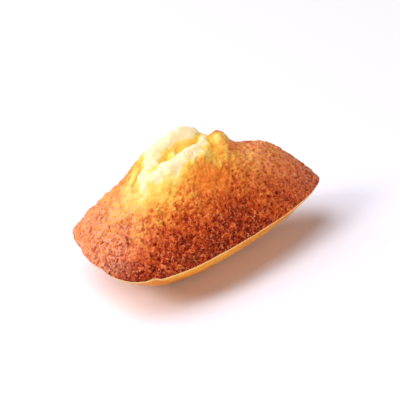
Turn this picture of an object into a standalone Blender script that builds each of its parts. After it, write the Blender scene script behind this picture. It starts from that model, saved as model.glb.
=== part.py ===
"""Madeleine cake: one solid of sponge, lying on its fluted shell side with the domed side up.

Metres, +Z up. +X points from the wide fan end to the narrow tip, and the origin is on the
table under the middle of the cake. The tin shapes everything below the rim, and the batter
that rose in the oven shapes everything above it.
"""

import math

import bmesh
import bpy

MM = 0.001

# Tin hollow: the rim outline and the shell under it.
LENGTH = 78.0 * MM
WIDTH = 45.6 * MM
SHELL_DEPTH = 13.1 * MM
SHELL_POWER = 2.2
WIDEST_AT = 0.283  # share of the length from the fan end to the widest place
FAN_POWER = 4.9
FAN_ROUNDING = 1.86
TIP_POWER = 1.21
TIP_ROUNDING = 1.72
CENTRE_X = -4.0 * MM  # deepest place of the shell

# Flutes of the shell: rays from a point just past the tip.
FLUTE_ORIGIN_X = 45.0 * MM
FLUTE_PITCH = math.radians(10.0)
FLUTE_COUNT = 6
FLUTE_DEPTH = 0.9 * MM
FLUTE_SHARPNESS = 0.7  # under 1, the grooves are sharper than the crowns
FLUTE_RIM_POWER = 8  # power with which the flutes run out just short of the rim
FLUTE_FADE_IN = (0.25, 0.6)  # shares of the way from the middle out to the rim
FLUTE_FADE_TIP = 45.0 * MM  # the flutes shallow over this distance as they close on the tip
SCALLOP_DEPTH = 0.6 * MM
CORNER_NOTCH_DEPTH = 1.4 * MM
CORNER_NOTCH_X = -29.2 * MM
CORNER_NOTCH_SPREAD = 1.8 * MM
SCALLOP_END_X = -14.0 * MM  # the rim runs smooth from here to the tip
SCALLOP_FADE = 12.0 * MM
SCALLOP_RISE = 5.0  # power with which the scallops die away from the rim inwards
REST_CUT = 0.45 * MM  # the crown of the shell sits flat on the table by this much

# Crust pillow over the rim.
CRUST_HEIGHT = 11.7 * MM
TIP_CRUST_HEIGHT = 17.1 * MM
TIP_CRUST_FROM_X = 5.0 * MM
TIP_CRUST_OVER = 25.0 * MM
CRUST_POWER = 3.5

# Lumps of the risen hump: centre x, centre y, half width along, half width across, turn in
# degrees, height and the power of the bell that carries them. A height under zero is a hollow.
HUMP_LUMPS = (
    (-4.0, 1.9, 23.6, 11.9, 0.0, 10.6, 2.2),  # the mound as a whole
    (-2.4, 6.9, 11.4, 3.4, -16.0, 7.0, 2.2),  # back lobe, the highest
    (-15.1, 8.3, 6.0, 4.5, 0.0, 1.8, 2.2),  # shoulder towards the fan end
    (-4.0, -1.0, 11.0, 2.6, 8.0, 1.2, 2.2),  # near lip of the split
    (7.9, 2.3, 3.0, 3.4, 0.0, 2.4, 3.0),  # small lobe towards the tip
    (-4.0, 2.7, 10.0, 1.8, 8.0, -2.2, 2.0),  # the split between the lobes
    (5.6, 3.0, 2.2, 3.4, 0.0, -1.8, 2.0),  # notch beside the small lobe
    (23.3, 2.0, 6.5, 6.5, 0.0, 0.9, 2.0),  # swelling of the crust near the tip
)
HUMP_EDGE_FADE = 0.3  # share of the way in from the rim over which the hump dies away

# Mesh fineness.
AROUND = 132
TOP_RINGS = 23
SHELL_RINGS = 14
TOP_CROWDING = 1.2  # over 1, the rings draw closer together towards the rim
SHELL_CROWDING = 1.2


def clear_scene():
    for old in list(bpy.data.objects):
        bpy.data.objects.remove(old, do_unlink=True)


def smoothstep(low, high, value):
    t = min(max((value - low) / (high - low), 0.0), 1.0)
    return t * t * (3.0 - 2.0 * t)


def plain_half_width(along):
    """Half width of the tin's outline at a share of the length from the fan end."""
    if along < WIDEST_AT:
        reach = (WIDEST_AT - along) / WIDEST_AT
        share = max(1.0 - reach**FAN_POWER, 0.0) ** (1.0 / FAN_ROUNDING)
    else:
        reach = (along - WIDEST_AT) / (1.0 - WIDEST_AT)
        share = max(1.0 - reach**TIP_POWER, 0.0) ** (1.0 / TIP_ROUNDING)
    return 0.5 * WIDTH * share


def flute_wave(x, y):
    """1 on the crown of a flute and 0 in the groove between two flutes."""
    angle = math.atan2(y, FLUTE_ORIGIN_X - x)
    if abs(angle) > 0.5 * FLUTE_COUNT * FLUTE_PITCH:
        return 1.0
    return abs(math.cos(math.pi * angle / FLUTE_PITCH)) ** FLUTE_SHARPNESS


def scallop_inset(x, y):
    """How far the rim is set in from the plain outline, towards the middle."""
    fade = 1.0 - smoothstep(SCALLOP_END_X, SCALLOP_END_X + SCALLOP_FADE, x)
    notch = math.exp(-(((x - CORNER_NOTCH_X) / CORNER_NOTCH_SPREAD) ** 2))
    return fade * (SCALLOP_DEPTH * (1.0 - flute_wave(x, y)) + CORNER_NOTCH_DEPTH * notch)


def ring_points(share):
    """Plan of one ring, at a share of the way from the middle out to the rim."""
    points = []
    for step in range(AROUND):
        turn = 2.0 * math.pi * step / AROUND
        along = 0.5 - 0.5 * math.cos(turn)
        side = 1.0 if math.sin(turn) > 0.0 else -1.0
        x = (along - 0.5) * LENGTH
        y = side * plain_half_width(along)
        inset = scallop_inset(x, y) * share**SCALLOP_RISE
        reach = share * (1.0 - inset / math.hypot(x - CENTRE_X, y))
        points.append((CENTRE_X + reach * (x - CENTRE_X), reach * y))
    return points


def crust_height(x, y, share):
    """Height of the risen side over the rim plane."""
    tipward = smoothstep(TIP_CRUST_FROM_X, TIP_CRUST_FROM_X + TIP_CRUST_OVER, x)
    pillow = CRUST_HEIGHT + (TIP_CRUST_HEIGHT - CRUST_HEIGHT) * tipward
    height = pillow * (1.0 - share**CRUST_POWER)
    lumps = 0.0
    for cx, cy, half_along, half_across, turn, tall, power in HUMP_LUMPS:
        cos, sin = math.cos(math.radians(turn)), math.sin(math.radians(turn))
        from_x, from_y = x / MM - cx, y / MM - cy
        along = (from_x * cos + from_y * sin) / half_along
        across = (from_y * cos - from_x * sin) / half_across
        lumps += tall * MM * math.exp(-(math.hypot(along, across) ** power))
    return height + lumps * min((1.0 - share) / HUMP_EDGE_FADE, 1.0)


def shell_height(x, y, share):
    """Height of the fluted tin side over the rim plane, which is below zero."""
    depth = SHELL_DEPTH * (1.0 - share**SHELL_POWER)
    fade = smoothstep(*FLUTE_FADE_IN, share) * (1.0 - share**FLUTE_RIM_POWER)
    fade *= min(math.hypot(FLUTE_ORIGIN_X - x, y) / FLUTE_FADE_TIP, 1.0)
    depth -= FLUTE_DEPTH * fade * (1.0 - flute_wave(x, y))
    return -min(depth, SHELL_DEPTH - REST_CUT)


def ring_shares(count, crowding):
    """Shares from the middle to the rim, closer together towards the rim."""
    return [1.0 - (1.0 - step / count) ** crowding for step in range(1, count)]


def build_cake():
    bm = bmesh.new()
    rest = SHELL_DEPTH - REST_CUT
    rim = [bm.verts.new((x, y, rest)) for x, y in ring_points(1.0)]

    for rings, height_at, upward in (
        (ring_shares(TOP_RINGS, TOP_CROWDING), crust_height, True),
        (ring_shares(SHELL_RINGS, SHELL_CROWDING), shell_height, False),
    ):
        middle = bm.verts.new((CENTRE_X, 0.0, rest + height_at(CENTRE_X, 0.0, 0.0)))
        inner = None
        for share in rings:
            ring = [
                bm.verts.new((x, y, rest + height_at(x, y, share)))
                for x, y in ring_points(share)
            ]
            join(bm, inner, ring, middle, upward)
            inner = ring
        join(bm, inner, rim, middle, upward)

    bmesh.ops.triangulate(bm, faces=bm.faces)
    bmesh.ops.recalc_face_normals(bm, faces=bm.faces)
    mesh = bpy.data.meshes.new("madeleine")
    bm.to_mesh(mesh)
    bm.free()
    return mesh


def join(bm, inner, outer, middle, upward):
    """Faces between two rings, or between the middle point and the first ring."""
    for step in range(AROUND):
        following = (step + 1) % AROUND
        if inner is None:
            face = [middle, outer[step], outer[following]]
        else:
            face = [inner[step], outer[step], outer[following], inner[following]]
        bm.faces.new(face if upward else face[::-1])


def sponge_material():
    """Baked sponge, golden brown and matt."""
    material = bpy.data.materials.new("baked_sponge")
    material.use_nodes = True
    shader = material.node_tree.nodes["Principled BSDF"]
    shader.inputs["Base Color"].default_value = (0.72, 0.33, 0.09, 1.0)
    shader.inputs["Roughness"].default_value = 0.6
    return material


def main():
    clear_scene()
    mesh = build_cake()
    mesh.materials.append(sponge_material())
    cake = bpy.data.objects.new("madeleine", mesh)
    bpy.context.scene.collection.objects.link(cake)


main()
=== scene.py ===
"""Madeleine cake: the baked surface, the table, the lights and the camera.

The cake is one closed mesh. A square grid is wrapped onto the tin's outline for the risen side
and a coarser one for the tin side, and the two share the rim. Relief down to the pores of the
crust is in the mesh. Five numbers kept at each point tell the material how brown the sponge is
there, how coarse its grain, how much painted shade it takes for lying deep in a pore and in a
hollow, and how much painted sheen it has.
"""

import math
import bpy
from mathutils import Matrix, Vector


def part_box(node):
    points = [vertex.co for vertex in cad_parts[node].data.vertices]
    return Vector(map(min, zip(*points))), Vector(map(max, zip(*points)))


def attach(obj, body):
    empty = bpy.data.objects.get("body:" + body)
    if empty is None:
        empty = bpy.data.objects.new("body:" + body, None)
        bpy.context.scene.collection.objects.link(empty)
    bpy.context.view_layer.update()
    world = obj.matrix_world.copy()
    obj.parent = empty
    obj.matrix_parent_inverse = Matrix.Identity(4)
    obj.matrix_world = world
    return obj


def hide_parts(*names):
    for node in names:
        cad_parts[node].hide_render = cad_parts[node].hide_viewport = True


bl_info = {
    "name": "Madeleine Cake",
    "version": (1, 0, 0),
    "blender": (4, 5, 0),
    "location": "View3D > Sidebar > Bakery",
    "description": "Builds a shell-shaped sponge cake, its table, its lights and its camera",
    "category": "Object",
}

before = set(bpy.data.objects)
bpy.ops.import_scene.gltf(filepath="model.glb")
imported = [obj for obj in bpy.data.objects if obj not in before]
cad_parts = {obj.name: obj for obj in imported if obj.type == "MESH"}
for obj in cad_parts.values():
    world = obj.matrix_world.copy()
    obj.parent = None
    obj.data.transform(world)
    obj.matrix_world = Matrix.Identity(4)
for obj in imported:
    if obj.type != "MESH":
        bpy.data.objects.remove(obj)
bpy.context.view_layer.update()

import bpy
import numpy as np
from bpy.props import FloatProperty, FloatVectorProperty, IntProperty, PointerProperty
from mathutils import Matrix, Vector

CAKE_NODE = "madeleine"
LOW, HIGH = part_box(CAKE_NODE)
MIDDLE = Vector((0.0, 0.0, 0.5 * (HIGH[2] + LOW[2])))
MM = 0.001

# From here to the texture square, sizes and places are in millimetres: x runs towards the tip, y
# towards the far side, and a pair named for x or y is the stretch over which a change takes place.

# Outline that the tin gives, from the frame's box and the tin's own proportions.
LENGTH = (HIGH[0] - LOW[0]) / MM
WIDTH = (HIGH[1] - LOW[1]) / MM
WIDEST_AT = 0.283
FAN_POWER = 4.9
FAN_ROUNDING = 1.86
TIP_POWER = 1.21
TIP_ROUNDING = 1.72
CENTRE_X = -4.0

# Points on half of the outline, from which its length is measured.
OUTLINE_POINTS = 1500

# Tin side: the power with which its depth runs out to the rim, the flat that the cake rests on,
# cut from the lowest point, and the steep lip under the rim.
SHELL_POWER = 2.2
REST_CUT = 0.45
LIP_DEPTH = 0.5
LIP_POWER = 110

# Flutes: rays from a point just past the tip. They start and are full at two shares of the way out
# to the rim, fade again close to it, and shallow towards the tip. Under a sharpness of 1 the
# grooves are sharper than the crowns.
FLUTE_ORIGIN_X = 45.0
FLUTE_PITCH = math.radians(10.0)
FLUTE_COUNT = 6
FLUTE_SHARPNESS = 0.7
FLUTE_START = (0.2, 0.6)
FLUTE_RIM_POWER = 8

# Waves of the rim, which end over this stretch, and the notch at each corner of the fan.
SCALLOP_END_X = (-14.0, -2.0)
SCALLOP_RISE = 5.0
CORNER_NOTCH_X = -29.2
CORNER_NOTCH_SPREAD = 1.8

# Risen side: centre x, centre y, half width x, half width y, turn in degrees, height, power.
BACK_LOBE = (-2.4, 6.9, 11.4, 3.4, -16.0, 7.0, 2.2)
LUMPS = (
    (-4.0, 1.9, 23.6, 11.9, 0.0, 10.6, 2.2),  # the mound as a whole
    BACK_LOBE,  # the highest
    (-15.1, 8.3, 6.0, 4.5, 0.0, 1.8, 2.2),  # shoulder towards the fan end
    (-4.0, -1.0, 11.0, 2.6, 8.0, 1.2, 2.2),  # near lip of the split
    (7.9, 2.3, 3.0, 3.4, 0.0, 2.4, 3.0),  # small lobe towards the tip
    (-4.0, 2.7, 10.0, 1.6, 8.0, -2.2, 2.0),  # the split between the lobes
    (5.6, 3.0, 1.8, 3.4, 0.0, -1.8, 2.0),  # notch beside the small lobe
    (23.3, 2.0, 6.5, 6.5, 0.0, 0.9, 2.0),  # swelling of the crust near the tip
)

# The lumps die away over this share of the way in from the rim.
HUMP_EDGE_FADE = 0.3

# Pillow of crust: the power with which it falls to the rim, and where it rises to its height at
# the tip.
CRUST_POWER = 3.5
TIP_RISE_X = (5.0, 30.0)

# Creases of the risen side: depth, half width and the plan points on the way. A depth under
# zero is a raised fold.
FOLDS = (
    (1.7, 1.0, ((-12.5, 3.0), (-7.8, 4.0), (-3.2, 4.4), (0.5, 3.4), (4.4, 4.8))),
    (-1.0, 2.0, ((-17.0, -2.5), (-11.4, 0.8), (-5.5, 1.6), (-0.5, 1.4), (3.0, 2.0), (5.4, 4.2))),
    (0.9, 1.0, ((1.2, -2.8), (4.6, -2.2), (6.8, -1.6))),
    (0.7, 0.8, ((5.4, -5.6), (8.8, -7.0))),
    (1.1, 0.9, ((-13.2, 9.0), (-15.9, 6.4), (-18.3, 3.8), (-20.6, 1.4), (-21.9, -1.0))),
    (-0.8, 1.7, ((-10.6, 8.4), (-13.7, 5.4), (-16.8, 1.7), (-19.8, -2.4), (-20.7, -5.5))),
    (-0.4, 0.7, ((-4.5, -3.6), (-1.8, -2.7), (0.7, -1.9), (2.8, -2.4))),
    (-0.7, 1.5, ((-19.0, -10.6), (-14.0, -11.8), (-9.5, -11.7), (-4.2, -11.0), (5.0, -9.6))),
    (1.2, 0.9, ((-20.4, -8.2), (-23.4, -10.8), (-27.0, -13.4))),
    (0.9, 0.8, ((-26.0, -5.0), (-29.0, -8.6), (-31.0, -12.0))),
    (1.0, 0.8, ((-11.5, -12.0), (-13.5, -15.0), (-14.5, -17.5))),
    (1.0, 0.8, ((-16.0, -9.0), (-18.5, -12.4), (-20.5, -16.2))),
    (0.8, 0.8, ((-5.0, -11.5), (-6.5, -14.5), (-8.0, -17.5))),
)
FOLD_POWER = 1.5

# The lines of the creases wander this far, at this pitch, by two random fields.
FOLD_WANDER = 0.7
FOLD_WANDER_PITCH = 2.4
FOLD_WANDER_FIELDS = (11, 12)

# Painted shade in hollows: it is full where the sponge lies this far under its surroundings. The
# coarse crust hides a share of it.
HOLLOW_SHADE_DEPTH = 0.25
HOLLOW_ROUNDS = 60
HOLLOW_SHADE_HIDDEN = 0.6

# Browning, from 0 on the palest crumb to 1 on the darkest crust.
PALE_BROWNING = 0.09
CRUST_BROWNING = 0.38
RIM_BROWNING = 0.57
RIM_BROWNING_REACH = 15.0

# Pale zone: an oval in plan, on the hump. It ends over these shares of its half axes.
PALE_X = -7.2
PALE_Y = 1.9
PALE_HALF_LENGTH = 17.0
PALE_HALF_WIDTH = 9.4
PALE_TURN = math.radians(12.0)
PALE_END = (0.4, 1.4)

# The back of the highest lobe faced the oven and browned from its crest down.
CREST_BROWNING = 0.5
CREST_REACH = (0.8, 5.0)

# The rim crust of the far corner of the fan is paler.
FAR_FAN_LOSS = 0.48
FAR_FAN_X = (-24.0, -12.0)
FAR_FAN_Y = (-11.0, 1.0)

# The crust of the tip is paler on its near side than on its far side.
TIP_LOSS = 0.17
TIP_FAR_GAIN = 0.24
TIP_X = (4.0, 18.0)
TIP_Y = (-8.0, 3.0)

# Smooth skin, drawn tight on the near flank of the hump; its deeper brown is painted shade under
# the ridge.
SKIN_X = -1.2
SKIN_Y = -7.3
SKIN_HALF_LENGTH = 7.0
SKIN_HALF_WIDTH = 4.2
SKIN_SHADE_BROWNING = 0.58
SKIN_SHADE_COVER = 0.85
SKIN_POWER = 3
SKIN_GRAIN = 0.35
SKIN_GRAIN_END = (0.6, 1.2)

# Toasted crest of the small lobe.
TOAST_X = 8.3
TOAST_Y = 4.2
TOAST_HALF_LENGTH = 2.2
TOAST_HALF_WIDTH = 1.2
TOAST_BROWNING = 0.4

# Mottling: amount, pitch in millimetres and number of the random field.
PALE_MOTTLE = ((0.10, 4.0, 1), (0.06, 1.8, 2))
CRUST_MOTTLE = ((0.06, 5.0, 13), (0.05, 2.2, 14))
SKIN_MOTTLE = ((0.12, 2.5, 16),)
CRUST_SWELLS = ((0.34, 6.5, 4), (0.26, 3.0, 5), (0.36, 1.5, 6))
SHELL_SWELLS = ((0.14, 4.5, 8), (0.08, 1.3, 9))

# The crust turns coarse over this stretch of browning, and the crumb keeps a little grain.
COARSE_BROWNING = (0.15, 0.5)
LEAST_GRAIN = 0.12

# Foam of the crust: size as a share of the pore size, number of the random field and depth of the
# shallowest pore as a share of the deepest.
PORES = (1.0, 0, 0.3)
FINE_PORES = (0.58, 3, 0.2)

# The edge of a pore and the width of a wall are shares of the pores' pitch. The walls' rise and the
# fine pores' depth are shares of the pore depth, and the fine walls' rise and the fine pores'
# depth on the crumb are shares of those two.
PORE_EDGE = (0.1, 0.6)
WALL_WIDTH = 0.3
WALL_RISE = 0.3
FINE_WALL_RISE = 0.6
FINE_DEPTH = 0.7
FINE_DEPTH_ON_CRUMB = 0.3

# Burst holes: one at the spot of about every second cell of this pitch.
HOLE_PITCH = 3.6
HOLE_FIELD = 5
HOLE_EDGE = (0.06, 0.24)
HOLE_DEPTH = 0.7
HOLE_CHANCE = 0.5

# Wrinkles, which run deepest in the crust of the fan end and shallowest in that of the tip.
WRINKLE_PITCH = 2.6
WRINKLE_FIELD = 15
WRINKLE_WIDTH = 0.35
WRINKLE_DEPTH = 0.45
WRINKLE_TIP_SHARE = 0.25
WRINKLE_X = (-18.0, 2.0)

# The relief loses this share at the rim.
RIM_CALM = 0.45
RIM_CALM_POWER = 40

# Depth in a pore, as the material reads it for painted shade that leaves the walls lighter: 0 on
# the top of a wall, this much where the sponge is even and 1 at the bottom of a hole. The rest say
# how much each kind of relief adds.
EVEN_PIT = 0.45
PORE_PIT = 0.5
PORE_PIT_ON_CRUMB = 0.2
WALL_PIT = 0.6
HOLE_PIT = 0.9
WRINKLE_PIT = 0.35
PIT_ON_CRUMB = 0.5

# Painted sheen, a milky pink reflection, on the far side of the fan and of the tip.
FAN_SHEEN = 0.54
FAN_SHEEN_X = (-34.0, -16.0)
FAN_SHEEN_Y = (-20.0, -6.0)
TIP_SHEEN = 0.4
TIP_SHEEN_X = (5.0, 18.0)
TIP_SHEEN_Y = (-13.0, -1.0)

# Tin side: the relief starts at the edge of the flat it rests on and ends at the rim. The pale
# lip lies close under the rim of the fan.
SHELL_SWELL_START = (0.25, 0.5)
SHELL_SWELL_POWER = 20
PALE_LIP = 0.6
PALE_LIP_START = (0.975, 0.999)
PALE_LIP_X = (-26.0, -12.0)

# Mesh fineness: cells along one side of the grid. The tin side has half as many.
TOP_CELLS = 264
SHELL_CELLS = TOP_CELLS // 2

# Random numbers along one side of their lattice, after which they repeat. Each field starts at a
# place of its own in it.
LATTICE = 72
SMOOTH_START = 11.3
SMOOTH_STRIDE = 7.7
CELLS_START = 3.1
CELLS_STRIDE = 5.9

# Texture square: the gap at its sides, and how far the width is pressed to fit half of it.
CHART_GAP = 0.02
CHART_PRESS = 0.78

# Patterns of the open-baked side. The bubbles of the foam are 0.3 to 0.8 mm wide, and their walls
# and the painted glints of fat on them half of that: all are too fine to show, and are drawn
# coarser.
BLOTCH_SIZE = 1.9 * MM
SHEEN_SIZE = 0.8 * MM
BUBBLE_SIZE = 1.0 * MM
BUBBLE_WANDER = 0.9 * MM
BUBBLE_WANDER_SIZE = 1.5 * MM
BURST_SIZE = 1.2 * MM
GLINT_SIZE = 0.75 * MM
KNOB_SIZE = 0.8 * MM
KNOB_HEIGHT = 0.6 * MM

# Share of the unevenness that the smooth crumb keeps.
CRUMB_UNEVENNESS = 0.3

# How far each pattern moves the sponge along the ramp from crumb to edge; for pits and hollows this
# is painted shade. The means are taken off again, so that browning alone sets the middle tone.
BLOTCH_PUSH = 0.95
BLOTCH_MEAN = 0.48
PIT_SHADE_PUSH = 0.22
HOLLOW_SHADE_PUSH = 0.24
PIT_AND_HOLLOW_SHADE_MEAN = 0.18

# Shares of a pore's shade and of a bubble's height that go into the burst pores and the knobs.
PIT_IN_BURST = 0.35
BUBBLE_IN_KNOB = 0.4

# Patterns of the tin side, and how far the painted shade of a groove moves it from shell to groove
# colour. Its closed bubbles are 0.3 mm wide, and are drawn coarser to show.
TIN_BLOTCH_SIZE = 2.6 * MM
TIN_BUBBLE_SIZE = 0.8 * MM
TIN_BUBBLE_DEPTH = 0.12 * MM
GROOVE_SHADE_PUSH = 0.9

# How far light gets into the dry open-baked crust and into the moister tin side.
CRUST_LIGHT_REACH = 1.5 * MM
TIN_LIGHT_REACH = 3.0 * MM

# Stage, in metres: the table's side, and each light's place from the middle of the cake and the
# width of its disc.
TABLE_SIZE = 6.0
SOFTBOX = (Vector((-0.46, 0.32, 1.05)), 1.5)
WINDOW = (Vector((-1.00, 0.00, 0.75)), 0.4)
REFLECTOR = (Vector((0.45, -0.85, 0.32)), 0.6)

# Point that the camera looks at.
AIM = Vector((0.0, 2.7, 17.0)) * MM


def linear(hex_colour):
    """sRGB hex value as linear red, green, blue."""
    channels = [int(hex_colour[at : at + 2], 16) / 255 for at in (0, 2, 4)]
    return [c / 12.92 if c <= 0.04045 else ((c + 0.055) / 1.055) ** 2.4 for c in channels]


def size_property(name, description, millimetres):
    return FloatProperty(
        name=name,
        description=description,
        default=millimetres * MM,
        min=0.0,
        unit="LENGTH",
        precision=5,
    )


def power_property(name, description, watts):
    return FloatProperty(name=name, description=description, default=watts, unit="POWER")


def colour_property(name, description, hex_colour):
    return FloatVectorProperty(
        name=name,
        description=description,
        default=linear(hex_colour),
        min=0.0,
        max=1.0,
        size=3,
        subtype="COLOR",
    )


class CakeShape(bpy.types.PropertyGroup):
    """Sizes of the cake that a baker would change."""

    shell_depth: size_property("Shell depth", "Depth of the tin under the rim", 13.1)
    flute_depth: size_property("Flute depth", "Depth of the grooves of the shell", 0.9)
    scallop_depth: size_property("Scallop depth", "Depth of the waves of the rim", 0.6)
    notch_depth: size_property("Notch depth", "Depth of the notch at each corner of the fan", 1.4)
    crust_height: size_property("Crust height", "Rise of the crust over the rim", 11.7)
    tip_height: size_property("Tip crust height", "Rise of the crust near the tip", 17.1)
    pore_size: size_property("Pore size", "Distance between the pores of the crust", 1.5)
    pore_depth: size_property("Pore depth", "Depth of a pore of the crust", 0.5)
    seed: IntProperty(name="Seed", description="Chance of the baking", default=7, min=0)


class CakeColours(bpy.types.PropertyGroup):
    """Colours of the sponge, from least to most baked."""

    crumb: colour_property("Crumb", "Pale sponge of the split hump", "FCEDC0")
    butter: colour_property("Butter", "Barely coloured skin", "FADC6A")
    golden: colour_property("Golden", "Golden skin", "F4B446")
    amber: colour_property("Amber", "Browning crust", "EC8630")
    copper: colour_property("Copper", "Browned crust", "D45B1C")
    chestnut: colour_property("Chestnut", "Well browned crust", "B43A12")
    edge: colour_property("Edge", "Darkest crust at the rim", "86200A")
    # Painted sheen: a milky pink reflection on the crust.
    rosy_sheen: colour_property("Rosy", "Milky bloom of the thinner crust", "F4B08C")
    # Painted glints on the bubble walls.
    painted_glint: colour_property("Spark", "Bubble walls that catch the light", "F6945A")
    # Painted shade, multiplied into the crust in pores and burst bubbles.
    pore: colour_property("Pore", "Shade in a pore, over the crust's own colour", "C67658")
    shell: colour_property("Shell", "Sponge that touched the tin", "EDAA3C")
    # Browner patches of the tin side, and painted shade between two flutes.
    shell_blotch_and_groove_shade: colour_property("Shell groove", "Sponge between two flutes", "DC7F20")
    lip: colour_property("Lip", "Sponge just under the rim", "F6DC98")


class StageLook(bpy.types.PropertyGroup):
    """Camera and light."""

    azimuth: FloatProperty(
        name="Azimuth",
        description="Turn of the camera round the cake",
        default=math.radians(-25.8),
        subtype="ANGLE",
    )
    elevation: FloatProperty(
        name="Elevation",
        description="Height of the camera over the table",
        default=math.radians(29.9),
        subtype="ANGLE",
    )
    lean: FloatProperty(
        name="Lean",
        description="Clockwise lean of the camera",
        default=math.radians(6.1),
        subtype="ANGLE",
    )
    distance: FloatProperty(
        name="Distance",
        description="Distance from the camera to the cake",
        default=0.5,
        unit="LENGTH",
    )
    lens: FloatProperty(
        name="Focal length",
        description="Focal length of the camera in millimetres",
        default=152.5,
        unit="CAMERA",
    )
    key_power: power_property("Key", "Power of the light overhead", 16.8)
    side_power: power_property("Side", "Power of the side light", 6.5)
    fill_power: power_property("Fill", "Power of the fill light", 4.2)
    key_colour: colour_property("Key colour", "Colour of the light overhead", "F9F9FF")
    side_colour: colour_property("Side colour", "Colour of the side light", "FFFBF8")
    fill_colour: colour_property("Fill colour", "Colour of the fill light", "FFE9CC")
    sky_strength: FloatProperty(
        name="Sky",
        description="Strength of the light from all round",
        default=0.15,
    )
    sky_colour: colour_property("Sky colour", "Colour of the light from all round", "F3EEFF")
    table: colour_property("Table", "Colour of the table", "F6F4FC")


# ---------------------------------------------------------------- noise


class Chance:
    """Repeatable random fields, made once from a seed."""

    def __init__(self, seed):
        random = np.random.default_rng(seed)
        self.value = random.random((LATTICE, LATTICE, LATTICE), np.float32)
        self.spot = random.random((LATTICE, LATTICE, LATTICE, 3), np.float32)

    def smooth(self, points, pitch, field):
        """Soft random field from -1 to 1, with features of the given pitch."""
        scaled = points / pitch + SMOOTH_START + SMOOTH_STRIDE * field
        cell = np.floor(scaled).astype(int)
        part = scaled - cell
        part = part * part * (3.0 - 2.0 * part)
        total = 0.0
        for corner in np.ndindex(2, 2, 2):
            index = (cell + corner) % LATTICE
            weight = np.prod(np.where(corner, part, 1.0 - part), axis=1)
            total = total + weight * self.value[index[:, 0], index[:, 1], index[:, 2]]
        return 2.0 * total - 1.0

    def cells(self, points, pitch, field):
        """Distance to the nearest and second nearest random spot, and the nearest's number."""
        scaled = points / pitch + CELLS_START + CELLS_STRIDE * field
        cell = np.floor(scaled).astype(int)
        nearest = np.full(len(points), np.inf)
        second = np.full(len(points), np.inf)
        number = np.zeros(len(points))
        for corner in np.ndindex(3, 3, 3):
            there = cell + corner - 1
            index = there % LATTICE
            spot = self.spot[index[:, 0], index[:, 1], index[:, 2]]
            away = np.linalg.norm(there + spot - scaled, axis=1)
            closer = away < nearest
            second = np.where(closer, nearest, np.minimum(second, away))
            number = np.where(closer, self.value[index[:, 0], index[:, 1], index[:, 2]], number)
            nearest = np.where(closer, away, nearest)
        return nearest, second, number


def step_between(low, high, value):
    """0 under low, 1 over high and a smooth rise between."""
    part = np.clip((value - low) / (high - low), 0.0, 1.0)
    return part * part * (3.0 - 2.0 * part)


def blend(start, end, share):
    """The start at a share of 0 and the end at 1."""
    return start + (end - start) * share


def mottled(value, points, chance, mottle):
    """The value with the soft random fields of the mottle added."""
    for amount, pitch, field in mottle:
        value = value + amount * chance.smooth(points, pitch, field)
    return value


# ---------------------------------------------------------------- shape, in millimetres


def plain_half_width(along):
    """Half width of the tin's outline at a share of the length from the fan end."""
    fan = np.clip((WIDEST_AT - along) / WIDEST_AT, 0.0, 1.0)
    tip = np.clip((along - WIDEST_AT) / (1.0 - WIDEST_AT), 0.0, 1.0)
    fan_share = (1.0 - fan**FAN_POWER) ** (1.0 / FAN_ROUNDING)
    tip_share = (1.0 - tip**TIP_POWER) ** (1.0 / TIP_ROUNDING)
    return 0.5 * WIDTH * np.where(along < WIDEST_AT, fan_share, tip_share)


def outline_at(angle):
    """Outline point for an angle from 0 at the tip, through the far side, to a full turn."""
    turn = np.linspace(0.0, math.pi, OUTLINE_POINTS)
    along = 0.5 + 0.5 * np.cos(turn)
    x = (along - 0.5) * LENGTH
    y = plain_half_width(along)
    run = np.concatenate([[0.0], np.cumsum(np.hypot(np.diff(x), np.diff(y)))])
    folded = np.abs((angle + math.pi) % (2.0 * math.pi) - math.pi) / math.pi
    side = np.where((angle % (2.0 * math.pi)) <= math.pi, 1.0, -1.0)
    at = folded * run[-1]
    return np.interp(at, run, x), side * np.interp(at, run, y)


def flute_wave(x, y):
    """1 on the crown of a flute and 0 in the groove between two flutes."""
    angle = np.arctan2(y, FLUTE_ORIGIN_X - x)
    wave = np.abs(np.cos(math.pi * angle / FLUTE_PITCH)) ** FLUTE_SHARPNESS
    return np.where(np.abs(angle) > 0.5 * FLUTE_COUNT * FLUTE_PITCH, 1.0, wave)


def grid_on_cake(cells, shape):
    """Plan x, plan y and share of the way out to the rim, for each point of a square grid."""
    line = np.linspace(-1.0, 1.0, cells + 1)
    a, b = np.meshgrid(line, line, indexing="ij")
    wide = np.abs(a) >= np.abs(b)
    safe_a = np.where(a == 0.0, 1.0, a)
    safe_b = np.where(b == 0.0, 1.0, b)
    turn = np.where(wide, math.pi / 4 * b / safe_a, math.pi / 2 - math.pi / 4 * a / safe_b)
    reach = np.where(wide, a, b)
    share = np.abs(reach)
    angle = np.where(reach < 0.0, turn + math.pi, turn)
    rim_x, rim_y = outline_at(angle)
    fade = 1.0 - step_between(*SCALLOP_END_X, rim_x)
    notch = np.exp(-(((rim_x - CORNER_NOTCH_X) / CORNER_NOTCH_SPREAD) ** 2))
    inset = shape.scallop_depth / MM * (1.0 - flute_wave(rim_x, rim_y))
    inset = fade * (inset + shape.notch_depth / MM * notch) * share**SCALLOP_RISE
    reach = share * (1.0 - inset / np.hypot(rim_x - CENTRE_X, rim_y))
    x = CENTRE_X + reach * (rim_x - CENTRE_X)
    return x, reach * rim_y, share


def crust_height(x, y, share, shape):
    """Height of the risen side over the rim plane."""
    pillow = blend(shape.crust_height, shape.tip_height, step_between(*TIP_RISE_X, x)) / MM
    height = pillow * (1.0 - share**CRUST_POWER)
    lumps = 0.0
    for cx, cy, wide_x, wide_y, turn, tall, power in LUMPS:
        cos, sin = math.cos(math.radians(turn)), math.sin(math.radians(turn))
        along = ((x - cx) * cos + (y - cy) * sin) / wide_x
        across = ((y - cy) * cos - (x - cx) * sin) / wide_y
        lumps = lumps + tall * np.exp(-(np.hypot(along, across) ** power))
    return height + lumps * np.clip((1.0 - share) / HUMP_EDGE_FADE, 0.0, 1.0)


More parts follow.
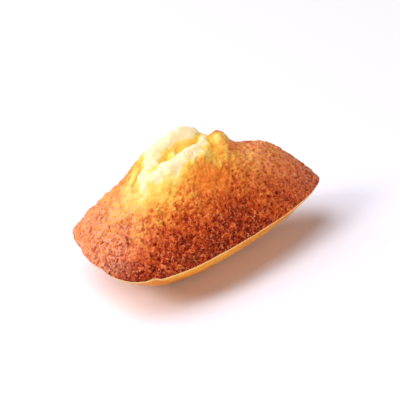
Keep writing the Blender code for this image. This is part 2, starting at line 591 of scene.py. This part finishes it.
def fold_profile(x, y, half_width, route):
    """1 on the line of a crease, fading to its sides and towards its two ends."""
    nearest = np.full(x.shape, np.inf)
    taper = np.zeros(x.shape)
    runs = [math.dist(start, end) for start, end in zip(route, route[1:])]
    done = 0.0
    for (x0, y0), (x1, y1), run in zip(route, route[1:], runs):
        part = np.clip(((x - x0) * (x1 - x0) + (y - y0) * (y1 - y0)) / run**2, 0.0, 1.0)
        away = np.hypot(x - x0 - part * (x1 - x0), y - y0 - part * (y1 - y0))
        at = (done + part * run) / sum(runs)
        taper = np.where(away < nearest, 4.0 * at * (1.0 - at), taper)
        nearest = np.minimum(nearest, away)
        done += run
    return np.exp(-((nearest / half_width) ** FOLD_POWER)) * np.sqrt(np.clip(taper, 0.0, 1.0))


def shell_height(x, y, share, shape):
    """Height of the tin side over the rim plane, which is below zero."""
    lip = LIP_DEPTH * (1.0 - share**LIP_POWER)
    depth = lip + (shape.shell_depth / MM - LIP_DEPTH) * (1.0 - share**SHELL_POWER)
    fade = step_between(*FLUTE_START, share) * (1.0 - share**FLUTE_RIM_POWER)
    fade = fade * np.minimum(np.hypot(FLUTE_ORIGIN_X - x, y) / FLUTE_ORIGIN_X, 1.0)
    depth = depth - shape.flute_depth / MM * fade * (1.0 - flute_wave(x, y))
    return -np.minimum(depth, shape.shell_depth / MM - REST_CUT)


def normals_of(grid):
    """Unit normals of a grid of points, pointing up where the grid faces up."""
    along = np.gradient(grid, axis=0)
    across = np.gradient(grid, axis=1)
    normal = np.cross(along, across)
    normal /= np.linalg.norm(normal, axis=2, keepdims=True) + 1e-12
    return normal


def hollow_of(height, rounds):
    """How far each grid height lies under the mean of those around it."""
    even = height.copy()
    for _ in range(rounds):
        around = even[:-2, 1:-1] + even[2:, 1:-1] + even[1:-1, :-2] + even[1:-1, 2:]
        even[1:-1, 1:-1] = 0.25 * around
    return even - height


def rim_distance(x, y):
    """Rough distance to the rim in plan, from the nearer side or the fan end."""
    side = plain_half_width(np.clip(x / LENGTH + 0.5, 0.0, 1.0)) - np.abs(y)
    return np.clip(np.minimum(side, x + 0.5 * LENGTH), 0.0, None)


def skin_distance(x, y):
    """Distance from the middle of the smooth skin, as a share of its half axes."""
    return np.hypot((x - SKIN_X) / SKIN_HALF_LENGTH, (y - SKIN_Y) / SKIN_HALF_WIDTH)


def pale_share(x, y, points, chance):
    """1 on the pale crumb of the hump and 0 on the crust."""
    cos, sin = math.cos(PALE_TURN), math.sin(PALE_TURN)
    along = ((x - PALE_X) * cos + (y - PALE_Y) * sin) / PALE_HALF_LENGTH
    across = ((y - PALE_Y) * cos - (x - PALE_X) * sin) / PALE_HALF_WIDTH
    away = mottled(np.hypot(along, across), points, chance, PALE_MOTTLE)
    crest_x, crest_y, _, _, crest_turn, _, _ = BACK_LOBE
    behind = y - crest_y - math.tan(math.radians(crest_turn)) * (x - crest_x)
    away = away + CREST_BROWNING * step_between(*CREST_REACH, behind)
    return 1.0 - step_between(*PALE_END, away)


def browning_of(points, chance):
    """0 on the pale hump and 1 on the darkest crust at the rim."""
    x, y = points[:, 0], points[:, 1]
    pale = pale_share(x, y, points, chance)
    far_fan = (1.0 - step_between(*FAR_FAN_X, x)) * step_between(*FAR_FAN_Y, y)
    rim = 1.0 - step_between(0.0, RIM_BROWNING_REACH, rim_distance(x, y))
    tip_loss = TIP_LOSS - TIP_FAR_GAIN * step_between(*TIP_Y, y)
    brown = CRUST_BROWNING + (RIM_BROWNING - FAR_FAN_LOSS * far_fan) * rim
    brown = brown - tip_loss * step_between(*TIP_X, x)
    brown = mottled(brown, points, chance, CRUST_MOTTLE)
    toast_x = (x - TOAST_X) / TOAST_HALF_LENGTH
    toast_y = (y - TOAST_Y) / TOAST_HALF_WIDTH
    toast = TOAST_BROWNING * np.exp(-(toast_x**2) - toast_y**2)
    brown = brown * (1.0 - pale) + PALE_BROWNING * pale + toast
    # Painted shade under the ridge, on the smooth skin of the near flank.
    drawn = mottled(skin_distance(x, y), points, chance, SKIN_MOTTLE)
    skin_shade = SKIN_SHADE_COVER * np.exp(-(drawn**SKIN_POWER))
    return np.clip(brown * (1.0 - skin_shade) + SKIN_SHADE_BROWNING * skin_shade, 0.0, 1.0)


def coarseness_of(points, brown):
    """0 on the fine crumb and 1 on the coarse crust, with less on the smooth skin."""
    skin_end = step_between(*SKIN_GRAIN_END, skin_distance(points[:, 0], points[:, 1]))
    return step_between(*COARSE_BROWNING, brown) * blend(SKIN_GRAIN, 1.0, skin_end)


def foam_of(points, chance, pore_size, share, field, shallowest):
    """How deep each point lies in a pore, and how high on the wall between two."""
    nearest, second, number = chance.cells(points, share * pore_size, field)
    pore = (1.0 - step_between(*PORE_EDGE, nearest)) * blend(shallowest, 1.0, number)
    wall = 1.0 - step_between(0.0, WALL_WIDTH, second - nearest)
    return pore, wall


def wrinkles_of(points, chance, coarse):
    """1 in the middle of a wrinkle of the crust and 0 between the wrinkles."""
    crease = np.abs(chance.smooth(points, WRINKLE_PITCH, WRINKLE_FIELD))
    tipward = step_between(*WRINKLE_X, points[:, 0])
    wrinkle = 1.0 - step_between(0.0, WRINKLE_WIDTH, crease)
    return wrinkle * (coarse * blend(1.0, WRINKLE_TIP_SHARE, tipward))


def crust_foam(points, coarse, rim_share, shape, chance):
    """Relief of the crust in millimetres, and painted shade for the depth of each point in a pore.
    """
    size = shape.pore_size / MM
    depth = shape.pore_depth / MM
    pore, wall = foam_of(points, chance, size, *PORES)
    fine_pore, fine_wall = foam_of(points, chance, size, *FINE_PORES)
    nearest, _, number = chance.cells(points, HOLE_PITCH, HOLE_FIELD)
    hole = (1.0 - step_between(*HOLE_EDGE, nearest)) * (number > HOLE_CHANCE)
    wrinkle = wrinkles_of(points, chance, coarse)

    relief = mottled(0.0, points, chance, CRUST_SWELLS)
    relief -= WRINKLE_DEPTH * wrinkle
    fine_depth = FINE_DEPTH * depth * blend(FINE_DEPTH_ON_CRUMB, 1.0, coarse)
    relief -= depth * coarse * pore + fine_depth * fine_pore
    relief += WALL_RISE * depth * coarse * (wall + FINE_WALL_RISE * fine_wall)
    relief -= HOLE_DEPTH * hole * coarse
    relief *= 1.0 - RIM_CALM * rim_share**RIM_CALM_POWER

    pit_shade = PORE_PIT * blend(PORE_PIT_ON_CRUMB, 1.0, coarse) * (pore - WALL_PIT * wall)
    pit_shade += PORE_PIT * (fine_pore - WALL_PIT * fine_wall)
    pit_shade *= blend(PIT_ON_CRUMB, 1.0, coarse)
    pit_shade += HOLE_PIT * hole * coarse
    pit_shade += WRINKLE_PIT * wrinkle
    return relief, np.clip(EVEN_PIT + pit_shade, 0.0, 1.0)


def sheen_of(points):
    """How much painted sheen the sponge has, on the far side of the fan and of the tip."""
    x, y = points[:, 0], points[:, 1]
    fan = FAN_SHEEN * (1.0 - step_between(*FAN_SHEEN_X, x)) * step_between(*FAN_SHEEN_Y, y)
    return fan + TIP_SHEEN * step_between(*TIP_SHEEN_X, x) * step_between(*TIP_SHEEN_Y, y)


def creased_height(x, y, share, shape, chance):
    """Height of the risen side with its creases, whose lines wander a little."""
    plan = np.column_stack([x.ravel(), y.ravel(), np.zeros(x.size)])
    field_x, field_y = FOLD_WANDER_FIELDS
    wander_x = x.ravel() + FOLD_WANDER * chance.smooth(plan, FOLD_WANDER_PITCH, field_x)
    wander_y = y.ravel() + FOLD_WANDER * chance.smooth(plan, FOLD_WANDER_PITCH, field_y)
    height = crust_height(x, y, share, shape)
    for depth, half_width, route in FOLDS:
        profile = fold_profile(wander_x, wander_y, half_width, route)
        height = height - depth * profile.reshape(x.shape)
    return height


def top_grid(shape, chance):
    """Risen side: a grid of points in millimetres and the fields kept with them."""
    x, y, share = grid_on_cake(TOP_CELLS, shape)
    height = creased_height(x, y, share, shape, chance)
    # Painted shade in hollows, from how far each point lies under its surroundings.
    hollow_shade = np.clip(hollow_of(height, HOLLOW_ROUNDS) / HOLLOW_SHADE_DEPTH, -1.0, 1.0).ravel()
    grid = np.stack([x, y, height], axis=2)
    points = grid.reshape(-1, 3)
    brown = browning_of(points, chance)
    coarse = coarseness_of(points, brown)
    relief, pit_shade = crust_foam(points, coarse, share.ravel(), shape, chance)
    points = points + normals_of(grid).reshape(-1, 3) * relief[:, None]
    hollow_shade = hollow_shade * (1.0 - HOLLOW_SHADE_HIDDEN * coarse)
    fields = {
        "browning": brown,
        "grain": blend(LEAST_GRAIN, 1.0, coarse),
        "pit_shade": pit_shade,
        "hollow_shade": 0.5 + 0.5 * hollow_shade,
        "painted_sheen": sheen_of(points),
    }
    return points, fields


def shell_grid(shape, chance):
    """Tin side, as top_grid. Here browning is the pale lip and the pit field painted shade in a
    groove.
    """
    x, y, share = grid_on_cake(SHELL_CELLS, shape)
    grid = np.stack([x, y, shell_height(x, y, share, shape)], axis=2)
    points = grid.reshape(-1, 3)
    rim_share = share.ravel()
    relief = mottled(0.0, points, chance, SHELL_SWELLS)
    relief *= step_between(*SHELL_SWELL_START, rim_share)
    relief *= 1.0 - rim_share**SHELL_SWELL_POWER
    points = points - normals_of(grid).reshape(-1, 3) * relief[:, None]
    fan = 1.0 - step_between(*PALE_LIP_X, points[:, 0])
    even = np.full(len(points), 0.5)
    fields = {
        "browning": PALE_LIP * step_between(*PALE_LIP_START, rim_share) * fan,
        "grain": even,
        "pit_shade": 1.0 - flute_wave(x.ravel(), y.ravel()),
        "hollow_shade": even,
        "painted_sheen": even,
    }
    return points, fields


def cell_loops(cells, corner_at, middle_at=None):
    """Corner lists of the grid's cells. Middle points are put in on the grid's outer edges."""
    loops = []
    for i in range(cells):
        for j in range(cells):
            corners = ((i, j), (i + 1, j), (i + 1, j + 1), (i, j + 1))
            loop = []
            for (i0, j0), (i1, j1) in zip(corners, corners[1:] + corners[:1]):
                loop.append(corner_at(i0, j0))
                outer = (i0 == i1 and i0 in (0, cells)) or (j0 == j1 and j0 in (0, cells))
                if middle_at and outer:
                    loop.append(middle_at(i0 + i1, j0 + j1))
            loops.append(loop)
    return loops


def bake_chart(points, side):
    """Places on the texture square: the risen side in the upper half, the tin side below."""
    reach_x = (points[:, 0] - CENTRE_X) / LENGTH
    reach_y = points[:, 1] / LENGTH
    scale = 1.0 - 2.0 * CHART_GAP
    u = 0.5 + CENTRE_X / LENGTH * scale + reach_x * scale
    v = 0.5 * side + 0.25 + reach_y * scale * CHART_PRESS
    return np.column_stack([u, v])


def cake_mesh(shape):
    """The cake's mesh: risen side and tin side with one rim, their fields and a bake chart."""
    chance = Chance(shape.seed)
    top, top_fields = top_grid(shape, chance)
    shell, shell_fields = shell_grid(shape, chance)
    row = TOP_CELLS + 1
    inner = SHELL_CELLS - 1
    index = np.arange((SHELL_CELLS + 1) ** 2).reshape(SHELL_CELLS + 1, -1)
    inside = index[1:-1, 1:-1].ravel()

    def top_corner(i, j):
        return i * row + j

    def shell_corner(i, j):
        if i in (0, SHELL_CELLS) or j in (0, SHELL_CELLS):
            return top_corner(2 * i, 2 * j)
        return row * row + (i - 1) * inner + j - 1

    rest = shape.shell_depth - REST_CUT * MM
    points = np.vstack([top, shell[inside]]) * MM
    points[:, 2] += rest
    top_loops = cell_loops(TOP_CELLS, top_corner)
    shell_loops = [loop[::-1] for loop in cell_loops(SHELL_CELLS, shell_corner, top_corner)]
    mesh = bpy.data.meshes.new("madeleine_sponge")
    mesh.from_pydata(points, [], top_loops + shell_loops)
    for name, values in top_fields.items():
        field = mesh.attributes.new(name, "FLOAT", "POINT")
        both = np.concatenate([values, shell_fields[name][inside]])
        field.data.foreach_set("value", both.astype(np.float32))

    corners = np.empty(len(mesh.loops), np.int32)
    mesh.loops.foreach_get("vertex_index", corners)
    is_shell = np.arange(len(corners)) >= 4 * len(top_loops)
    plan = points / MM
    chart = np.where(is_shell[:, None], bake_chart(plan, 0)[corners], bake_chart(plan, 1)[corners])
    layer = mesh.uv_layers.new(name="OFBake")
    layer.data.foreach_set("uv", chart.astype(np.float32).ravel())
    kinds = np.zeros(len(mesh.polygons), np.int32)
    kinds[len(top_loops) :] = 1
    mesh.polygons.foreach_set("material_index", kinds)
    mesh.polygons.foreach_set("use_smooth", np.ones(len(mesh.polygons), bool))
    mesh.update()
    return mesh


# ---------------------------------------------------------------- materials


def add_node(tree, kind, settings=(), inputs=()):
    """Adds a node, sets its properties and fills its sockets with values or links."""
    node = tree.nodes.new(kind)
    for name, value in dict(settings).items():
        setattr(node, name, value)
    for name, value in dict(inputs).items():
        socket = node.inputs[name]
        if isinstance(value, bpy.types.NodeSocket):
            tree.links.new(value, socket)
        else:
            socket.default_value = value
    return node


def opaque(colour):
    """The colour with full alpha."""
    return (*colour, 1.0)


# A colour Mix node takes its share at socket 0 and its colours at 6 and 7, and gives the mixed
# colour at 2.


def open_baked_sponge(colours):
    """Sponge baked open to the oven's air: butter browned into a thin, pored, faintly greasy skin.

    It gives the eye a ramp from pale crumb to chestnut, with painted shade in the pores, lighter
    walls between them, a painted sheen and small painted glints where the fat shines.
    """
    material = bpy.data.materials.new("open_baked_sponge")
    material.use_nodes = True
    tree = material.node_tree
    tree.nodes.clear()
    browning, coarse, pit_shade, hollow_shade, painted_sheen = (
        add_node(tree, "ShaderNodeAttribute", {"attribute_name": name}).outputs["Fac"]
        for name in ("browning", "grain", "pit_shade", "hollow_shade", "painted_sheen")
    )
    place = add_node(tree, "ShaderNodeTexCoord").outputs["Object"]
    uneven = add_node(
        tree,
        "ShaderNodeMapRange",
        inputs={"Value": coarse, "To Min": CRUMB_UNEVENNESS, "To Max": 1.0},
    ).outputs["Result"]
    # Blotches of the baking, and painted shade in pores and hollows, move the sponge along the
    # ramp.
    blotch = add_node(
        tree,
        "ShaderNodeTexNoise",
        inputs={"Vector": place, "Scale": 1 / BLOTCH_SIZE, "Detail": 4.0, "Roughness": 0.7},
    ).outputs["Fac"]
    blotched = add_node(
        tree,
        "ShaderNodeMath",
        {"operation": "MULTIPLY_ADD"},
        {0: blotch, 1: BLOTCH_PUSH, 2: -BLOTCH_MEAN},
    ).outputs[0]
    blotch_and_pore_shade = add_node(
        tree, "ShaderNodeMath", {"operation": "MULTIPLY_ADD"}, {0: pit_shade, 1: PIT_SHADE_PUSH, 2: blotched}
    ).outputs[0]
    grained = add_node(
        tree, "ShaderNodeMath", {"operation": "MULTIPLY_ADD"}, {0: blotch_and_pore_shade, 1: uneven, 2: browning}
    ).outputs[0]
    hollow_shaded = add_node(
        tree,
        "ShaderNodeMath",
        {"operation": "MULTIPLY_ADD"},
        {0: hollow_shade, 1: HOLLOW_SHADE_PUSH, 2: grained},
    ).outputs[0]
    shade = add_node(
        tree, "ShaderNodeMath", {"operation": "SUBTRACT"}, {0: hollow_shaded, 1: PIT_AND_HOLLOW_SHADE_MEAN}
    ).outputs[0]
    ramp = add_node(tree, "ShaderNodeValToRGB", inputs={"Fac": shade})
    stops = (
        (0.0, colours.crumb),
        (0.15, colours.butter),
        (0.32, colours.golden),
        (0.5, colours.amber),
        (0.7, colours.copper),
        (0.86, colours.chestnut),
        (1.0, colours.edge),
    )
    ramp.color_ramp.elements[0].color = opaque(stops[0][1])
    ramp.color_ramp.elements[1].color = opaque(stops[-1][1])
    for at, colour in stops[1:-1]:
        ramp.color_ramp.elements.new(at).color = opaque(colour)
    # The painted sheen sits on the bubble walls only.
    walls = add_node(
        tree,
        "ShaderNodeTexNoise",
        inputs={"Vector": place, "Scale": 1 / SHEEN_SIZE, "Detail": 1.0, "Distortion": 0.5},
    ).outputs["Fac"]
    on_walls = add_node(
        tree,
        "ShaderNodeMapRange",
        inputs={"Value": walls, "From Min": 0.36, "From Max": 0.64, "To Max": 2.0},
    ).outputs["Result"]
    sheen_share = add_node(
        tree,
        "ShaderNodeMath",
        {"operation": "MULTIPLY", "use_clamp": True},
        {0: painted_sheen, 1: on_walls},
    ).outputs[0]
    sheened = add_node(
        tree,
        "ShaderNodeMix",
        {"data_type": "RGBA"},
        {0: sheen_share, 6: ramp.outputs["Color"], 7: opaque(colours.rosy_sheen)},
    ).outputs[2]
    # Bubbles of the foam, pulled out of shape by the rise.
    bent = add_node(
        tree,
        "ShaderNodeTexNoise",
        inputs={"Vector": place, "Scale": 1 / BUBBLE_WANDER_SIZE, "Detail": 1.0},
    ).outputs["Color"]
    wandering = add_node(
        tree,
        "ShaderNodeVectorMath",
        {"operation": "MULTIPLY_ADD"},
        {0: bent, 1: (BUBBLE_WANDER, BUBBLE_WANDER, BUBBLE_WANDER), 2: place},
    ).outputs["Vector"]
    foam = add_node(
        tree,
        "ShaderNodeTexVoronoi",
        inputs={"Vector": wandering, "Scale": 1 / BUBBLE_SIZE, "Randomness": 1.0},
    ).outputs["Distance"]
    # Painted shade in the pores of the mesh and in patches of burst bubbles, multiplied in as the
    # pore colour.
    patchy = add_node(
        tree,
        "ShaderNodeTexNoise",
        inputs={"Vector": place, "Scale": 1 / BURST_SIZE, "Detail": 2.0, "Roughness": 0.65},
    ).outputs["Fac"]
    burst_shade = add_node(
        tree,
        "ShaderNodeMapRange",
        inputs={"Value": patchy, "From Min": 0.48, "From Max": 0.74, "To Max": 0.75},
    ).outputs["Result"]
    sunk_shade = add_node(
        tree, "ShaderNodeMath", {"operation": "MULTIPLY_ADD"}, {0: pit_shade, 1: PIT_IN_BURST, 2: burst_shade}
    ).outputs[0]
    pore_shade = add_node(
        tree,
        "ShaderNodeMath",
        {"operation": "MULTIPLY", "use_clamp": True},
        {0: sunk_shade, 1: coarse},
    ).outputs[0]
    pore_shaded = add_node(
        tree,
        "ShaderNodeMix",
        {"data_type": "RGBA", "blend_type": "MULTIPLY"},
        {0: pore_shade, 6: sheened, 7: opaque(colours.pore)},
    ).outputs[2]
    # Painted glints: bubble walls drawn pale where the fat on them catches the light.
    glint_noise = add_node(
        tree,
        "ShaderNodeTexNoise",
        inputs={"Vector": place, "Scale": 1 / GLINT_SIZE, "Detail": 1.0, "Distortion": 0.8},
    ).outputs["Fac"]
    painted_glint = add_node(
        tree,
        "ShaderNodeMapRange",
        inputs={"Value": glint_noise, "From Min": 0.52, "From Max": 0.7, "To Max": 0.75},
    ).outputs["Result"]
    glinting = add_node(
        tree, "ShaderNodeMath", {"operation": "MULTIPLY"}, {0: painted_glint, 1: coarse}
    ).outputs[0]
    colour = add_node(
        tree,
        "ShaderNodeMix",
        {"data_type": "RGBA"},
        {0: glinting, 6: pore_shaded, 7: opaque(colours.painted_glint)},
    ).outputs[2]
    # Knobs and bubbles raise the skin, less on the crumb than on the crust.
    grain = add_node(
        tree,
        "ShaderNodeTexNoise",
        inputs={"Vector": place, "Scale": 1 / KNOB_SIZE, "Detail": 3.0, "Roughness": 0.6},
    ).outputs["Fac"]
    knobbly = add_node(
        tree,
        "ShaderNodeMath",
        {"operation": "MULTIPLY_ADD"},
        {0: foam, 1: BUBBLE_IN_KNOB, 2: grain},
    ).outputs[0]
    raised = add_node(
        tree, "ShaderNodeMath", {"operation": "MULTIPLY"}, {0: knobbly, 1: uneven}
    ).outputs[0]
    bump = add_node(
        tree,
        "ShaderNodeBump",
        inputs={"Strength": 1.0, "Distance": KNOB_HEIGHT, "Height": raised},
    )
    # The fat gathers between the knobs, so the skin is glossier there than on them.
    rough = add_node(
        tree,
        "ShaderNodeMapRange",
        inputs={"Value": grain, "From Min": 0.3, "From Max": 0.7, "To Min": 0.25, "To Max": 0.55},
    )
    shader = add_node(
        tree,
        "ShaderNodeBsdfPrincipled",
        inputs={
            "Base Color": colour,
            "Roughness": rough.outputs["Result"],
            "IOR": 1.45,
            "Specular IOR Level": 0.12,
            "Normal": bump.outputs["Normal"],
            "Subsurface Weight": 0.05,
            "Subsurface Radius": (1.0, 0.45, 0.15),
            "Subsurface Scale": CRUST_LIGHT_REACH,
        },
    )
    add_node(tree, "ShaderNodeOutputMaterial", inputs={"Surface": shader.outputs["BSDF"]})
    return material


def tin_baked_sponge(colours):
    """Sponge baked against a buttered tin: smooth, golden, with tiny closed bubbles.

    It gives the eye a pale lip under the rim, browner patches, painted shade in the grooves and a
    dull sheen.
    """
    material = bpy.data.materials.new("tin_baked_sponge")
    material.use_nodes = True
    tree = material.node_tree
    tree.nodes.clear()
    lip, groove_shade = (
        add_node(tree, "ShaderNodeAttribute", {"attribute_name": name}).outputs["Fac"]
        for name in ("browning", "pit_shade")
    )
    place = add_node(tree, "ShaderNodeTexCoord").outputs["Object"]
    blotch = add_node(
        tree,
        "ShaderNodeTexNoise",
        inputs={"Vector": place, "Scale": 1 / TIN_BLOTCH_SIZE, "Detail": 4.0, "Roughness": 0.65},
    ).outputs["Fac"]
    patches = add_node(
        tree,
        "ShaderNodeMapRange",
        inputs={"Value": blotch, "From Min": 0.35, "From Max": 0.75},
    ).outputs["Result"]
    # Browner patches at random, and painted shade in the grooves between the flutes.
    varied = add_node(
        tree,
        "ShaderNodeMath",
        {"operation": "MULTIPLY_ADD", "use_clamp": True},
        {0: groove_shade, 1: GROOVE_SHADE_PUSH, 2: patches},
    ).outputs[0]
    golden = add_node(
        tree,
        "ShaderNodeMix",
        {"data_type": "RGBA"},
        {0: varied, 6: opaque(colours.shell), 7: opaque(colours.shell_blotch_and_groove_shade)},
    ).outputs[2]
    colour = add_node(
        tree,
        "ShaderNodeMix",
        {"data_type": "RGBA"},
        {0: lip, 6: golden, 7: opaque(colours.lip)},
    ).outputs[2]
    bubble = add_node(
        tree,
        "ShaderNodeTexVoronoi",
        inputs={"Vector": place, "Scale": 1 / TIN_BUBBLE_SIZE},
    ).outputs["Distance"]
    bump = add_node(
        tree,
        "ShaderNodeBump",
        inputs={"Strength": 0.6, "Distance": TIN_BUBBLE_DEPTH, "Height": bubble},
    )
    shader = add_node(
        tree,
        "ShaderNodeBsdfPrincipled",
        inputs={
            "Base Color": colour,
            "Roughness": 0.5,
            "IOR": 1.45,
            "Specular IOR Level": 0.2,
            "Normal": bump.outputs["Normal"],
            "Subsurface Weight": 0.4,
            "Subsurface Radius": (1.0, 0.5, 0.2),
            "Subsurface Scale": TIN_LIGHT_REACH,
        },
    )
    add_node(tree, "ShaderNodeOutputMaterial", inputs={"Surface": shader.outputs["BSDF"]})
    return material


def matt_card(look):
    """Matt white card: coated paper board, with no pattern and no shine."""
    material = bpy.data.materials.new("matt_card")
    material.use_nodes = True
    shader = material.node_tree.nodes["Principled BSDF"]
    shader.inputs["Base Color"].default_value = opaque(look.table)
    shader.inputs["Roughness"].default_value = 0.9
    return material


# ---------------------------------------------------------------- operators


class BAKERY_OT_cake(bpy.types.Operator):
    """Build the madeleine's sponge"""

    bl_idname = "bakery.madeleine_cake"
    bl_label = "Madeleine"

    def execute(self, context):
        scene = context.scene
        mesh = cake_mesh(scene.madeleine_shape)
        mesh.materials.append(open_baked_sponge(scene.madeleine_colours))
        mesh.materials.append(tin_baked_sponge(scene.madeleine_colours))
        cake = bpy.data.objects.new("madeleine_sponge", mesh)
        scene.collection.objects.link(cake)
        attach(cake, "root")
        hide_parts(CAKE_NODE)
        return {"FINISHED"}


class BAKERY_OT_stage(bpy.types.Operator):
    """Set the table, the lights and the camera"""

    bl_idname = "bakery.madeleine_stage"
    bl_label = "Table, lights and camera"

    def execute(self, context):
        scene = context.scene
        look = scene.madeleine_look
        bpy.ops.mesh.primitive_plane_add(size=TABLE_SIZE)
        table = context.object
        table.name = "table"
        table.data.materials.append(matt_card(look))

        add_area_light("softbox", *SOFTBOX, look.key_power, look.key_colour)
        add_area_light("window", *WINDOW, look.side_power, look.side_colour)
        add_area_light("reflector", *REFLECTOR, look.fill_power, look.fill_colour)

        world = bpy.data.worlds.new("studio")
        world.use_nodes = True
        sky = world.node_tree.nodes["Background"]
        sky.inputs["Color"].default_value = opaque(look.sky_colour)
        sky.inputs["Strength"].default_value = look.sky_strength
        scene.world = world
        scene.view_settings.view_transform = "Standard"

        lens = bpy.data.cameras.new("camera")
        lens.lens = look.lens
        camera = bpy.data.objects.new("camera", lens)
        scene.collection.objects.link(camera)
        scene.camera = camera
        turn = Matrix.Rotation(look.azimuth, 4, "Z")
        turn = turn @ Matrix.Rotation(0.5 * math.pi - look.elevation, 4, "X")
        turn = turn @ Matrix.Rotation(-look.lean, 4, "Z")
        back = turn.to_3x3() @ Vector((0.0, 0.0, look.distance))
        camera.matrix_world = Matrix.Translation(AIM + back) @ turn
        return {"FINISHED"}


def add_area_light(name, offset, width, power, colour):
    """A round soft light that faces the middle of the cake from the offset."""
    data = bpy.data.lights.new(name, "AREA")
    data.shape = "DISK"
    data.size = width
    data.energy = power
    data.color = colour
    light = bpy.data.objects.new(name, data)
    light.location = MIDDLE + offset
    light.rotation_euler = (-offset).to_track_quat("-Z", "Y").to_euler()
    bpy.context.scene.collection.objects.link(light)


class BAKERY_PT_madeleine(bpy.types.Panel):
    """Sizes, colours and the steps that build the madeleine"""

    bl_label = "Madeleine"
    bl_idname = "BAKERY_PT_madeleine"
    bl_space_type = "VIEW_3D"
    bl_region_type = "UI"
    bl_category = "Bakery"

    def draw(self, context):
        for name in GROUPS:
            box = self.layout.box()
            group = getattr(context.scene, name)
            for field in group.bl_rna.properties:
                if field.identifier not in ("rna_type", "name"):
                    box.prop(group, field.identifier)
        for operator in OPERATORS:
            self.layout.operator(operator.bl_idname)


GROUPS = {
    "madeleine_shape": CakeShape,
    "madeleine_colours": CakeColours,
    "madeleine_look": StageLook,
}
OPERATORS = (BAKERY_OT_cake, BAKERY_OT_stage)


def register():
    for name, group in GROUPS.items():
        bpy.utils.register_class(group)
        setattr(bpy.types.Scene, name, PointerProperty(type=group))
    for operator in OPERATORS:
        bpy.utils.register_class(operator)
    bpy.utils.register_class(BAKERY_PT_madeleine)


def unregister():
    bpy.utils.unregister_class(BAKERY_PT_madeleine)
    for operator in reversed(OPERATORS):
        bpy.utils.unregister_class(operator)
    for name, group in reversed(GROUPS.items()):
        delattr(bpy.types.Scene, name)
        bpy.utils.unregister_class(group)


def main():
    register()
    bpy.ops.bakery.madeleine_cake()
    bpy.ops.bakery.madeleine_stage()


if __name__ == "__main__":
    main()
